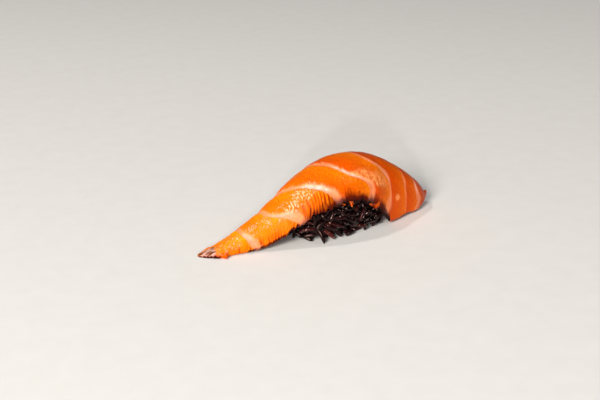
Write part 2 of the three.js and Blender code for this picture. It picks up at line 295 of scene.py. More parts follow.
# %% Smooth random unevenness with a fixed seed
NOISE_GRID = 64


def uneven(u, v, seed):
    """Smooth noise from -1 to 1 with a step of 1 in u and in v."""
    table = np.random.default_rng(seed).uniform(-1, 1, (NOISE_GRID, NOISE_GRID))
    iu, iv = np.floor(u).astype(int), np.floor(v).astype(int)
    fu, fv = u - iu, v - iv
    fu, fv = fu * fu * (3 - 2 * fu), fv * fv * (3 - 2 * fv)
    corner = lambda a, b: table[(iu + a) % NOISE_GRID, (iv + b) % NOISE_GRID]
    low = corner(0, 0) * (1 - fu) + corner(1, 0) * fu
    high = corner(0, 1) * (1 - fu) + corner(1, 1) * fu
    return low * (1 - fv) + high * fv


def soft_step(low, high, value):
    """0 below low, 1 above high, and an S curve between. Swapped limits turn it round."""
    t = np.clip((value - low) / (high - low), 0, 1)
    return t * t * (3 - 2 * t)


def between(low, high, ramp, value):
    """1 from low to high, with a ramp down to 0 outside both."""
    return soft_step(low - ramp, low, value) * soft_step(high + ramp, high, value)


print("noise repeats after", NOISE_GRID, "steps")

# %% [markdown]
# The skin is one closed grid: rings across the slice, each running over the top from hem to hem,
# round the rounded hem and back along the underside. A coarse cage under a subdivision modifier
# would be lighter, but it couldn't carry grooves that are a millimetre apart.

# %% Rings of the slice
RINGS, TOP, LIP, UNDER = 372, 216, 8, 24  # rings, then steps over the top, round a hem, underneath
N_RING = TOP + 1 + LIP + UNDER + 1 + LIP
EVEN_SHARE = 0.75  # the rest of the rings crowd towards the two thin ends
HANG_FROM = 0.8  # share across from which the ragged hem pulls the flesh down
TABLE_GAP = 0.3  # mm: nothing is pulled down that lies nearer to the table

along = np.linspace(0, 1, RINGS)
x = STATIONS[0, 0] + (STATIONS[-1, 0] - STATIONS[0, 0]) * (
    EVEN_SHARE * along + (1 - EVEN_SHARE) * (1 - np.cos(np.pi * along)) / 2)
mid, front, rear, crown, hem_front, hem_rear = station(x)

top_share = np.linspace(-1, 1, TOP + 1)
lip_share = np.linspace(0, 1, LIP + 2)[1:-1]
under_share = np.linspace(1, -1, UNDER + 1)
share = np.concatenate([top_share, np.ones(LIP), under_share, -np.ones(LIP)])


def ring_points(dip, ragged):
    """Points of all rings. dip sinks the top; ragged lengthens the hem, both in mm, per point."""
    points = np.zeros((RINGS, N_RING, 3))
    points[:, :, 0] = x[:, None]
    for sign, width, low in ((-1, front, hem_front), (1, rear, hem_rear)):
        width, low = width[:, None], np.maximum(0, low)[:, None]
        thick = np.minimum(HEM_THICKNESS, HEM_SHARE * width)
        hem = low + thick / 2
        under = np.maximum(low, crown[:, None] - SLICE_THICKNESS)
        base = np.minimum(hem, under)
        side = np.flatnonzero((top_share < 0) if sign < 0 else (top_share >= 0))
        angle = np.abs(top_share[side])[None] * np.pi / 2
        sink = dip[:, side]
        points[:, side, 1] = mid[:, None] + sign * np.sin(angle) ** ARCH * (width - sink)
        points[:, side, 2] = hem + np.cos(angle) ** ARCH * (crown[:, None] - hem - sink)
        step = lip_share if sign > 0 else lip_share[::-1]
        edge = (TOP + 1 if sign > 0 else N_RING - LIP) + np.arange(LIP)
        top = np.where(step < 0.5, hem, base)
        points[:, edge, 1] = mid[:, None] + sign * (width - step * thick)
        points[:, edge, 2] = top - (top - low) * np.sqrt(1 - (2 * step - 1) ** 2)
        part = np.flatnonzero((under_share < 0) if sign < 0 else (under_share >= 0))
        angle = np.abs(under_share[part])[None] * np.pi / 2
        inside = TOP + 1 + LIP + part
        points[:, inside, 1] = mid[:, None] + sign * np.sin(angle) ** ARCH * (width - thick)
        points[:, inside, 2] = base + np.cos(angle) ** ARCH * (under - base)
    reach = np.clip((np.abs(share) - HANG_FROM) / (1 - HANG_FROM), 0, 1) ** 2
    points[:, :, 2] -= reach * ragged * np.clip(points[:, :, 2] - TABLE_GAP, 0, 1)
    return points


flat = np.zeros((RINGS, N_RING))
plain = ring_points(flat, flat)
print("rings", RINGS, "with", N_RING, "points")

# %% [markdown]
# Patterns need to know where they are on the skin. The place along the slice serves for one
# direction. For the other, the distance from the crown line is measured over the top, so that a
# pattern keeps its true size where the sides are steep.

# %% Places on the skin, along it and across it
def arc_length(points):
    """Distance over the top from the crown line, front negative; the underside repeats it."""
    step = np.linalg.norm(np.diff(points[:, :TOP + 1], axis=1), axis=2)
    total = np.concatenate([np.zeros((RINGS, 1)), np.cumsum(step, axis=1)], axis=1)
    total -= total[:, TOP // 2:TOP // 2 + 1]
    rest = share[TOP + 1:]
    return np.concatenate([total, np.where(rest > 0, total[:, -1:], -total[:, :1]) * rest], axis=1)


arc = arc_length(plain)
X = plain[:, :, 0]
V = np.broadcast_to(share, X.shape)
reach = np.maximum(1, np.ptp(arc, axis=1) / 2)[:, None]
hem_gap = np.where(V < 0, arc - arc[:, :1], arc[:, TOP:TOP + 1] - arc)
print("the widest ring is", round(float(2 * reach.max()), 1), "mm over the top")

# %% [markdown]
# Muscle fibres run over the slice from hem to hem. They are about a millimetre apart near the tail
# and stand further apart over the rice, where the slice is stretched. One running count of fibres
# gives every later step the same fibres: the grooves, the feathered fat and the colour.

# %% Count of fibres along the slice
FINE_PITCH, WIDE_PITCH = 1.0, 1.7  # mm
WIDENS, NARROWS = (-36, -20), (30, 12)  # mm along the slice, each from fine to wide
pitch = FINE_PITCH + (WIDE_PITCH - FINE_PITCH) * soft_step(*WIDENS, x) * soft_step(*NARROWS, x)
count = np.concatenate([[0], np.cumsum(np.diff(x) / ((pitch[1:] + pitch[:-1]) / 2))])
drift = 0.7 * uneven(X / 9, arc / 10, 3)
fibre = count[:, None] + drift
streak = (uneven(fibre * 1.9, arc / 7, 5) + 0.7 * uneven(fibre * 4.1, arc / 4, 6)) / 1.7
print("fibres:", int(count[-1]))

# %% [markdown]
# Each band is filled between its two edges, measured squarely across it. It is whitest close behind
# its clean edge and thins out towards the other, where the fat follows the fibres outwards in
# streaks. Where a band faces the light, its middle is whitened further: a painted highlight. Between
# two bands a flake turns from deep orange, beside the band on its tail side, to a lighter and
# yellower orange beside the next, so how far along its flake a point lies is kept too. The change is
# weaker towards the broad end and slight low on the side of the tail, and at the turn of the
# shoulder it is made strongest, which is painted light.

# %% Fat over the skin, from 0 to 1
CRISP = 0.3  # mm over which the clean edge fades
THIN_FROM, THIN_TO = 0.62, 1.2  # shares of the width over which the fat thins out
HEART_AT = 0.36  # share of the width where a band is whitest
FIRST_FLAKE, FLAKE_POWER = -58.0, 1.8  # where the first flake starts, mm, and how late it lightens
SEAM_REACH = 2.0  # mm
NUDGE = 0.02  # share across over which an edge's slant is measured
THINNEST = 0.7  # mm: no band is thinner than this


def edge_of(band, side):
    """Place along the slice of a band's edge, for every point round a ring."""
    return smooth_curve(share, ACROSS, band[side])[None]


def lean(band, side):
    """How much longer a step along the slice is than the step squarely across this edge."""
    ahead, behind = (smooth_curve(share + way, ACROSS, band[side]) for way in (NUDGE, -NUDGE))
    return np.sqrt(1 + ((ahead - behind)[None] / (2 * NUDGE) / reach) ** 2)


fat = np.zeros(X.shape)
heart_highlight = np.zeros(X.shape)
seam = np.zeros(X.shape)
flake = np.zeros(X.shape)
flake_start = FIRST_FLAKE
towards_light = between(-0.5, -0.3, 0.25, V)
for k, band in enumerate(BANDS):
    tail_edge, head_edge = edge_of(band, "tail"), edge_of(band, "head")
    bleed = np.interp(np.abs(V), (0.4, 0.95), band["bleed"][::-1])
    white = np.interp(-np.abs(V), (-1, -0.5, 0), band["strength"])
    wander = 0.2 * uneven(X / 1.9, arc / 1.9, 20 + k)
    slant = lean(band, "tail")
    from_tail = (X - tail_edge) / slant + wander
    width = np.maximum(THINNEST, (head_edge - tail_edge) / slant) + 0.5 * bleed
    depth = (from_tail - 0.8 * bleed * streak) / width
    body = soft_step(-CRISP, CRISP, from_tail) * soft_step(THIN_TO, THIN_FROM, depth)
    whitest = soft_step(0.55, 0.15, np.abs(from_tail / width - HEART_AT))
    fat = np.maximum(fat, body * white)
    # Painted highlight: a band's middle is whitened where it faces the light.
    heart_highlight = np.maximum(heart_highlight, body * band["heart_highlight"] * whitest * towards_light)
    from_middle = (X - (tail_edge + head_edge) / 2) / SEAM_REACH
    seam = np.maximum(seam, band["seam"] * np.exp(-(from_middle**2)))
    in_flake = (X > flake_start) & (X < head_edge)
    flake[in_flake] = np.clip((X - flake_start) / (tail_edge - flake_start), 0, 1)[in_flake]
    flake_start = head_edge
fat = np.clip(fat * (0.93 + 0.14 * uneven(X / 1.1, arc / 1.1, 8)), 0, 1)
heart_highlight = np.clip(heart_highlight * (1 + 0.6 * uneven(X / 0.7, arc / 1.3, 41)), 0, 1)
broad_end, tail_side = soft_step(21, 27, X), soft_step(-0.4, -0.65, V) * soft_step(-20, -26, X)
# Painted light: the flakes are lightened more at the turn of the shoulder.
painted_light_at_shoulder = between(12, 21, 3, X) * between(-0.5, -0.1, 0.1, V)
flake = np.clip(flake, 0, 1) ** FLAKE_POWER
flake = flake * (1 - 0.4 * broad_end) * (1 + 0.1 * painted_light_at_shoulder) * (1 - 0.75 * tail_side)
print("share of the top that is fat:", round(float(fat[:, :TOP].mean()), 3))

# %% [markdown]
# Between the fourth and the fifth band, where the flake turns down over the shoulder, thin fat runs
# through the flesh in short pale strokes, which also stand for soft glints there: partly painted
# sheen. It is densest beside the fourth band and is almost gone at the fifth. A small pale island
# further on is a painted highlight. The very tip of the tail is a scrap of the same pale tissue,
# with dark patches of painted shade.

# %% Marbled shoulder and pale tip
MARBLE_LEAD = 0.8  # mm that the marbling starts inside the fourth band
MARBLED_FROM, MARBLED_TO = -0.66, -0.5  # shares across
ISLAND_X, ISLAND_V = 28.0, -0.77  # the island's middle: mm along, share across
ISLAND_LONG, ISLAND_WIDE = 1.3, 0.045  # half its length in mm, and half its width as a share across

marble_start, marble_stop = edge_of(BANDS[3], "head"), edge_of(BANDS[4], "tail")
marble_span = np.maximum(2, marble_stop - marble_start + MARBLE_LEAD)
through = np.clip((X - marble_start + MARBLE_LEAD) / marble_span, 0, 1)
marble_and_sheen = soft_step(-1.0, 0.2, X - marble_start) * soft_step(1.3, 0.5, through)
marble_and_sheen = marble_and_sheen * soft_step(1, 0.9, through)
frayed = 0.04 * uneven(X / 2.5, arc / 2.5, 31)
marble_and_sheen = marble_and_sheen * between(MARBLED_FROM, MARBLED_TO, 0.08, V + frayed)
strokes = uneven((X + 0.5 * arc) / 0.9, (arc - 0.5 * X) / 2.6, 32)
strokes = strokes + 0.6 * uneven(X / 0.7, arc / 0.7, 33)
marble_and_sheen = marble_and_sheen * np.clip(0.75 + 0.5 * strokes, 0, 1)
# Painted highlight: a small pale oval on the flesh further on.
highlight_island = ((X - ISLAND_X) / ISLAND_LONG) ** 2 + ((V - ISLAND_V) / ISLAND_WIDE) ** 2
highlight_island = highlight_island + 0.5 * uneven(X / 0.6, arc / 0.6, 36)
marble_and_sheen = np.maximum(marble_and_sheen, 0.8 * soft_step(1.4, 0.4, highlight_island))

TIP_END, TIP_SLANT = -55.7, 2.4  # mm: where the pale tip ends, and how far that end slants
tip_edge = TIP_END + TIP_SLANT * np.minimum(0, V + 0.2) + 0.8 * uneven(arc / 1.1, X / 1.1, 9)
tip = soft_step(0.4, -0.4, X - tip_edge) * soft_step(0.3, -0.02, V)
print("marbled share:", round(float(marble_and_sheen.mean()), 3), "tip share:", round(float(tip.mean()), 3))

# %% [markdown]
# Relief, in the order of its size: the swelling of the flakes, then slow lumps, then the grooves
# between the fibres. Grooves are deep where the flesh hangs down the sides, and they almost vanish
# on the stretched top and on the broad end. The hem is torn into small tags over the rice. Bump in
# the material could draw all of this, but it leaves the outline smooth, so the points are moved.

# %% Relief of the skin, mm
GROOVE_DEPTH, GROOVE_ON_TOP = 0.2, 0.04
HANG_RAMP = 0.45  # share across over which the side starts to hang
TAG_AT, TAG_REACH, TAG_LONG = 22.6, 0.9, 0.5  # mm: one longer tag, just past the rice

hang_from = 0.35 + 0.2 * soft_step(-22, -30, X)
hang = soft_step(hang_from, hang_from + HANG_RAMP, np.abs(V)) * (0.2 + 0.8 * soft_step(6, -10, X))
hang = hang * soft_step(26, 14, X) * soft_step(-56, -48, X)
wave = np.cos(2 * np.pi * (fibre + 0.5 * uneven(fibre * 0.9, arc / 8, 12)))
ripple = np.cos(2 * np.pi * (1.8 * fibre + 0.5 * uneven(fibre * 1.3, arc / 6, 40)))
groove = (0.5 + 0.5 * wave) ** 2 * np.clip(0.6 + 0.8 * uneven(fibre * 0.7, arc / 4, 13), 0, 1.2)
groove = np.clip(groove + 0.35 * (0.5 + 0.5 * ripple) ** 2, 0, 1.2) * (1 - 0.75 * fat)
lumps = 0.2 * uneven(X / 7, arc / 6, 14) + 0.1 * uneven(X / 2.6, arc / 2.8, 15)
lumps = lumps + 0.8 * between(-55, -47, 2.5, X) * soft_step(-0.3, 0.3, V)  # the tail is flat behind
tip_lumps = 0.4 * soft_step(-46, -52, X) * uneven(X / 1.2, arc / 1.2, 34) * (0.4 + 0.6 * (V < -0.4))
dip = seam * (1 - V**8) + lumps + tip_lumps
dip = dip + (GROOVE_ON_TOP + (GROOVE_DEPTH - GROOVE_ON_TOP) * hang) * groove
dip = dip + 0.05 * uneven(X / 0.7, arc / 0.7, 16)
dip = dip * (1 - V**12)

over_rice = between(-26, 20, 6, X)
tags = 0.5 * uneven(fibre * 2, V * 0, 12) + 0.35 * uneven(X / 0.6, V * 0, 17)
last_tag = TAG_LONG * np.exp(-(((X - TAG_AT) / TAG_REACH) ** 2)) * (V < 0)
points = ring_points(dip, tags * (0.45 + 1.1 * over_rice) + last_tag)
FOOT_AT, FOOT_REACH, FOOT_OUT = -54.6, 2.0, 1.4  # mm: a torn lobe spreads on the table by the tail
foot = FOOT_OUT * np.exp(-(((X - FOOT_AT) / FOOT_REACH) ** 2))
foot = foot * (1 + 0.7 * uneven(X / 0.9, V * 0, 42))
points[:, :, 1] -= foot * soft_step(-0.6, -0.95, V)
print("relief from", round(float(-dip.max()), 2), "to", round(float(-dip.min()), 2), "mm")

# %% [markdown]
# Black rice sheds a purple juice, which has crept a few millimetres up the flesh from the hem: how
# far is given at stops along the slice. By the broad end it reaches further, and there it is also
# painted shade. It follows the grooves between the fibres, and a torn lip over the rice has stayed
# nearly clean.

# %% Stain from the rice, with painted shade by the broad end
# From 14 to 21 mm along the reach is long, because there it also stands for the shade above the hem,
# where the flesh turns from the light: painted shade.
CREEP_X = [-57, -55.5, -44, -38, -24, -19, -9, -6, -3, 0, 3, 9, 12, 14, 17.5, 19.2, 20.5, 22, 22.8]
CREEP_MM = [0.9, 0, 0, 1.0, 1.3, 4.4, 5.4, 4.0, 6.2, 6.4, 5.2, 4.2, 5.0, 7.0, 8.8, 7.2, 4.4, 3.4, 0]
TORN_FROM, TORN_TO = 11.2, 15.2  # mm along the slice
TORN_LOW, TORN_HIGH = 10.8, 12.7  # mm over the table

creep = np.interp(X, CREEP_X, CREEP_MM) * (1 + 0.2 * uneven(X / 1.6, arc / 3, 18))
creep = creep * (1 + 0.2 * uneven(X / 0.7, arc / 1.6, 45))
climb = np.clip(1 - hem_gap / np.maximum(0.05, creep), 0, 1)
notched = 0.45 + 0.75 * groove
stain_and_shade = climb * (creep > 0.05) * (notched + (1 - notched) * soft_step(-14, -5, X))
torn_height = plain[:, :, 2] + 0.7 * uneven(X / 0.7, arc / 0.7, 46)
torn_lip = between(TORN_FROM, TORN_TO, 0.8, X) * between(TORN_LOW, TORN_HIGH, 0.5, torn_height)
stain_and_shade = stain_and_shade * (1 - 0.65 * torn_lip * (V < 0))
under_stain = 0.6 * over_rice[:, TOP + 1:]
stain_and_shade[:, TOP + 1:] = np.maximum(stain_and_shade[:, TOP + 1:], under_stain)
stain_and_shade = np.clip(stain_and_shade, 0, 1)
print("stained share:", round(float(stain_and_shade.mean()), 3))

# %% [markdown]
# Wet flesh lies where the flesh is open and faces the light: on the shoulder up to the third band,
# in a strip just past that band, and in three smaller patches. There it gets a rougher relief and
# painted glints. The flesh itself reddens from the tail to the broad end, and the torn lobe by the
# tail is nearly as red as the broad end. Its top is painted a shade deeper: painted shade.

# %% Wet flesh with painted glints, and how red the flesh is
WET_PATCHES = [  # mm along from, to and fade, shares across from, to and fade, and how wet
    (-41, -33, 2.5, -0.45, -0.1, 0.14, 0.75),
    (-56, -46, 1.5, -0.75, -0.1, 0.16, 0.65),
    (-1.5, 3.5, 1.5, -0.6, -0.45, 0.1, 0.3),
]
REDDENS_FROM, REDDENS_OVER = -45, 70  # mm along the slice

wet_front = -0.57 + 0.07 * soft_step(-20, -13, X)
wet_and_glints = between(-29.5, -10, 2.5, X) * between(wet_front, -0.22, 0.1, V)
wet_and_glints = wet_and_glints * soft_step(0.3, -1.2, X - edge_of(BANDS[2], "tail"))
past_third = X - edge_of(BANDS[2], "head")
wet_and_glints = np.maximum(wet_and_glints, 0.5 * between(0.2, 1.6, 0.6, past_third) * between(-0.5, -0.2, 0.08, V))
for start, stop, fade, near, far, fade_across, how_wet in WET_PATCHES:
    patch = how_wet * between(start, stop, fade, X) * between(near, far, fade_across, V)
    wet_and_glints = np.maximum(wet_and_glints, patch)
wet_and_glints = np.clip(wet_and_glints * (0.8 + 0.5 * uneven(X / 2.6, arc / 2.6, 21)), 0, 1)
# Painted shade: the crown term makes the top a shade deeper.
redness_and_top_shade = (X - REDDENS_FROM) / REDDENS_OVER + 0.1 * soft_step(-0.5, 0, V)
redness_and_top_shade = redness_and_top_shade + 0.8 * between(-58, -53.5, 1.5, X) * soft_step(-0.6, -0.85, V)  # the torn lobe
redness_and_top_shade = np.clip(redness_and_top_shade, 0, 1)
print("wet share:", round(float(wet_and_glints.mean()), 3))

# %% [markdown]
# A mesh is points and faces. They could be made one by one with bmesh, but numpy already holds them
# all, so the mesh takes them in one go. Each pattern is stored with the points as a named attribute
# that the shader can read.

# %% Build a mesh from arrays
def build_mesh(name, points_mm, faces, attributes, material):
    """A smooth mesh in the row's frame, from points in mm and rows of point numbers."""
    mesh = bpy.data.meshes.new(name)
    mesh.from_pydata((points_mm * MM).tolist(), [], faces)
    for key, values in attributes.items():
        values = np.asarray(values, dtype=np.float32)
        single = values.ndim == 1
        layer = mesh.attributes.new(key, "FLOAT" if single else "FLOAT_VECTOR", "POINT")
        layer.data.foreach_set("value" if single else "vector", values.ravel())
    mesh.validate()
    mesh.polygons.foreach_set("use_smooth", [True] * len(mesh.polygons))
    mesh.materials.append(material)
    mesh.update()
    piece = bpy.data.objects.new(name, mesh)
    bpy.context.scene.collection.objects.link(piece)
    return piece


def closed_grid_faces(rows, n):
    """Quads round and along a grid of rows with n points each, and a fan of triangles at each end.
    The two end points come after the grid."""
    faces = []
    for r in range(rows - 1):
        for i in range(n):
            j = (i + 1) % n
            faces.append((r * n + i, (r + 1) * n + i, (r + 1) * n + j, r * n + j))
    for i in range(n):
        j = (i + 1) % n
        faces.append((i, j, rows * n))
        faces.append(((rows - 1) * n + j, (rows - 1) * n + i, rows * n + 1))
    return faces


print("mesh helpers ready")

# %% [markdown]
# Raw salmon is a wet, slightly see-through flesh that was cut with a long knife: light goes a
# millimetre or two in and comes back redder, so the shader needs subsurface light as well as colour.
# The patterns on the mesh say where the flesh, the fat and the marbling are; the shader gives them
# their finest grain, with noise whose scale is written in lumps to the millimetre. Real flesh has
# finer threads than a millimetre, which wouldn't show, so they are drawn about that wide.

# %% Material: raw salmon flesh, the patterns it reads
CLOUDS, SPECKS, THREADS, GRIT = 0.17, 1.4, 1.0, 1.1  # lumps to the mm: clouds are 6 mm wide

salmon, tree, shader = new_material("raw_salmon_flesh")
mask = {name: add(tree, "Attribute", {"attribute_name": name}).node.outputs["Fac"] for name in (
    "fat", "heart_highlight", "groove", "stain_and_shade", "wet_and_glints", "marble_and_sheen", "tip", "redness_and_top_shade", "flake")}
skin_mm, fibre_mm = [add(tree, "Attribute", {"attribute_name": name}).node.outputs["Vector"]
                     for name in ("skin_mm", "fibre_mm")]
cloud = add(tree, "TexNoise", {}, skin_mm, CLOUDS, 3.0)
speck = add(tree, "TexNoise", {}, skin_mm, SPECKS, 3.0, 0.6)
thread = add(tree, "TexNoise", {}, fibre_mm, THREADS, 3.0, 0.6)
print("patterns read:", len(mask) + 2)

# %% [markdown]
# The colour is built up in the order in which the eye takes it in: orange that reddens along the
# slice, a lighter orange towards the head end of each flake, dark threads, painted shade in the
# grooves, and then the fat, which is creamy, whitened at its heart by a painted highlight, and
# pinkish where it feathers out.

# %% Material: raw salmon flesh, orange flesh and pale fat
flesh = add(tree, "ValToRGB", {}, add(tree, "Math", TIMES_PLUS, cloud, 0.25, mask["redness_and_top_shade"]))
stops = flesh.node.color_ramp.elements
stops[0].position, stops[0].color = 0.1, linear("#F47E04")
stops[1].position, stops[1].color = 1.0, linear("#D04800")
for where, hexed in ((0.5, "#EE6C05"), (0.8, "#D65202")):
    extra = stops.new(where)
    extra.color = linear(hexed)
lit_flesh = add(tree, "Mix", COLOURS, mask["redness_and_top_shade"], linear("#FFA208"), linear("#FF840A"))
lighter = add(tree, "Math", TIMES, mask["flake"], 0.75)
flesh = add(tree, "Mix", COLOURS, lighter, flesh, lit_flesh)
thin_line = add(tree, "Math", HELD, thread, 1.6, -0.62)
thin_line = add(tree, "Math", TIMES, thin_line, add(tree, "Math", HELD, mask["redness_and_top_shade"], 1.5, 0.2))
flesh = add(tree, "Mix", COLOURS, thin_line, flesh, linear("#B43C00"))
# Painted shade: the grooves between the fibres are darkened.
groove_shade = add(tree, "Math", HELD, mask["groove"], 1.15, 0.0)
flesh = add(tree, "Mix", COLOURS, groove_shade, flesh, linear("#A83000"))
in_threads = add(tree, "Math", TIMES_PLUS, thread, 0.7, 0.68)
fatty = add(tree, "Math", HELD, mask["fat"], in_threads, 0.0)
band_colour = add(tree, "Mix", COLOURS, mask["redness_and_top_shade"], linear("#F08A60"), linear("#E88A5E"))
creamy = add(tree, "Math", HELD, speck, 3.0, -1.3)
band_colour = add(tree, "Mix", COLOURS, creamy, band_colour, linear("#F2987C"))
# Painted highlight: the middle of a band that faces the light turns nearly white.
band_colour = add(tree, "Mix", COLOURS, mask["heart_highlight"], band_colour, linear("#FFC2B4"))
colour = add(tree, "Mix", COLOURS, fatty, flesh, band_colour)
print("flesh and fat ready")

# %% [markdown]
# A film of oil and water on the open flesh gathers into droplets that are drawn out along the
# fibres. Their glints are painted into the colour as spots where a noise is high: the wetter the
# place, the lower the noise has to be. Close to the rice, the flesh is first deep red and then
# nearly black with the pigment of the bran, and by the broad end this darkening is partly painted
# shade.
# Pale fat takes up less of it, so the bands stay brownish down to the hem.

# %% Material: raw salmon flesh, painted glints, marbling, tip and stain
drawn_out = add(tree, "Mapping", {}, Vector=fibre_mm, Scale=(1.9, 0.95, 1.0))
glint_noise = add(tree, "TexNoise", {}, drawn_out, 1.0, 2.0, 0.6)
lowered = add(tree, "Math", TIMES_PLUS, mask["wet_and_glints"], 0.17, -0.63)
# Painted glints: pale droplet spots are mixed into the colour.
painted_glints = add(tree, "Math", HELD, add(tree, "Math", {"operation": "ADD"}, glint_noise, lowered), 12.0, 0.0)
painted_glints = add(tree, "Math", TIMES, painted_glints, add(tree, "Math", HELD, mask["wet_and_glints"], 3.0, 0.0))
colour = add(tree, "Mix", COLOURS, add(tree, "Math", TIMES, painted_glints, 0.9), colour, linear("#FFB88C"))
# Partly painted sheen: the pale strokes of the marbling also stand for soft glints.
veins_and_sheen = add(tree, "Math", HELD, add(tree, "TexNoise", {}, fibre_mm, 0.9, 3.0, 0.65), 3.0, -0.85)
veins_and_sheen = add(tree, "Math", TIMES, mask["marble_and_sheen"], veins_and_sheen)
colour = add(tree, "Mix", COLOURS, veins_and_sheen, colour, linear("#FFA45C"))
smear = add(tree, "Mapping", {}, Vector=skin_mm, Scale=(0.35, 1.1, 1.0))
patchy = add(tree, "Math", HELD, add(tree, "TexNoise", {}, smear, 1.0, 3.0), 8.0, -3.3)
# Painted shade: the dark patches of the torn tip stand for shade between its scraps.
scrap_with_shade = add(tree, "Mix", COLOURS, patchy, linear("#4E2416"), linear("#BC968A"))
colour = add(tree, "Mix", COLOURS, add(tree, "Math", TIMES, mask["tip"], 0.9), colour, scrap_with_shade)
# Stain and painted shade: by the broad end, this deep red and near black stand for shade too.
deep_red = add(tree, "Math", HELD, mask["stain_and_shade"], 2.1, -0.3)
stain_and_shade_colour = add(tree, "Mix", COLOURS, fatty, linear("#641600"), linear("#8A5044"))
colour = add(tree, "Mix", COLOURS, deep_red, colour, stain_and_shade_colour)
uneven_black = add(tree, "Mix", COLOURS, creamy, linear("#0C0101"), linear("#2A0802"))
nearly_black = add(tree, "Math", HELD, mask["stain_and_shade"], 2.4, -1.4)
colour = add(tree, "Mix", COLOURS, nearly_black, colour, uneven_black)
tree.links.new(colour, shader.inputs["Base Color"])
print("salmon colour has", len(tree.nodes), "nodes")

# %% [markdown]
# Wet flesh has an index of refraction near 1.4. Nearly all of its gloss comes from the film on top,
# which is a coat of water, while the flesh below it is dull. The relief is the fine grit of the
# flesh, with the droplets standing on it.

# %% Material: raw salmon flesh, gloss and relief
tree.links.new(add(tree, "Math", TIMES_PLUS, speck, 0.3, 0.2), shader.inputs["Roughness"])
set_sockets(shader, {
    "IOR": 1.4,
    "Specular IOR Level": 0.05,
    "Subsurface Weight": 0.2,
    "Subsurface Radius": (1.0, 0.3, 0.08),  # red light goes furthest
    "Subsurface Scale": MM,
    "Coat Weight": 0.1,
    "Coat Roughness": 0.07,
    "Coat IOR": 1.33,  # water
})

grit = add(tree, "TexNoise", {}, skin_mm, GRIT, 4.0, 0.65)
coarse = add(tree, "Math", {"operation": "ADD"}, mask["wet_and_glints"], 0.35)
height = add(tree, "Math", TIMES_PLUS, painted_glints, 0.5, add(tree, "Math", TIMES, grit, coarse))
bump = add(tree, "Bump", {}, Strength=0.8, Distance=0.4 * MM, Height=height)
tree.links.new(bump, shader.inputs["Normal"])
tree.links.new(bump, shader.inputs["Coat Normal"])
print("salmon material has", len(tree.nodes), "nodes")

# %% [markdown]
# Now the skin can be put together from its points, its patterns and its material. Each thin end is
# closed by a fan of triangles round one point. The skin stands for the plain solid of the slice,
# which stays where it is for contacts but no longer shows.

# %% The skin of the slice
grid = (points + PLACE).reshape(-1, 3)
ends = np.stack([points[0].mean(0) + PLACE, points[-1].mean(0) + PLACE])


def with_ends(values):
    """A per-point pattern, and its mean at each of the two end points."""
    return np.concatenate([np.ravel(values), [values[0].mean(), values[-1].mean()]])


def two_numbers(a, b):
    """Two patterns as one vector per point, which the shader's noise can take as a place."""
    a, b = with_ends(a), with_ends(b)
    return np.stack([a, b, np.zeros(len(a))], -1)


slice_skin = build_mesh(
    "salmon_skin",
    np.concatenate([grid, ends]),
    closed_grid_faces(RINGS, N_RING),
    {
        "skin_mm": two_numbers(X, arc),
        "fibre_mm": two_numbers(fibre * 1.6, arc * 0.8),
        "fat": with_ends(fat), "heart_highlight": with_ends(heart_highlight), "groove": with_ends(groove * hang),
        "stain_and_shade": with_ends(stain_and_shade), "wet_and_glints": with_ends(wet_and_glints), "marble_and_sheen": with_ends(marble_and_sheen),
        "tip": with_ends(tip), "redness_and_top_shade": with_ends(redness_and_top_shade), "flake": with_ends(flake),
    },
    salmon,
)
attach(slice_skin, "root")
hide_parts("salmon_slice")
print("salmon skin:", len(slice_skin.data.polygons), "faces")

# %% [markdown]
# Cooked black rice is pressed by hand into a rounded block that is flat where it stands. One lump
# with a rough surface could stand for it, but only separate grains give the dark gaps and the small
# hard highlights. So its outside is real grains, each up to 7 mm long and about 2 mm thick, laid
# every which way, and its core is a dark mass that shows only in the gaps. A grain that would cut
# into the fish or into another grain is left out, as real ones are pressed aside.

# %% The block of rice
BLOCK = {"x": -0.5, "y": -0.3, "waist": 7.0, "half_width": 13.6, "above": 20.0, "below": 11.0}
TAIL_END, BROAD_END = (23.5, 2.1), (26.3, 2.5)  # length and power of the two ends


def block_surface(direction):
    """Points of the rounded block in unit directions from its waist."""
    length = np.where(direction[:, 0] > 0, BROAD_END[0], TAIL_END[0])
    power = np.where(direction[:, 0] > 0, BROAD_END[1], TAIL_END[1])
    rise = np.where(direction[:, 2] > 0, BLOCK["above"], BLOCK["below"])
    total = (np.abs(direction[:, 0] / length) ** power
             + np.abs(direction[:, 1] / BLOCK["half_width"]) ** power
             + np.abs(direction[:, 2] / rise) ** power)
    return direction * (total ** (-1 / power))[:, None] + [BLOCK["x"], BLOCK["y"], BLOCK["waist"]]


print("block is", TAIL_END[0] + BROAD_END[0], "mm long")

# %% [markdown]
# To keep grains out of the fish, the slice's outline is worked out every half millimetre. A point is
# inside an outline when a line drawn from it to one side crosses the outline an odd number of times.

# %% Whether a point lies in the fish
SECTION_STEP, SECTION_START, FISH_CLEARANCE = 0.5, -62.0, 0.12


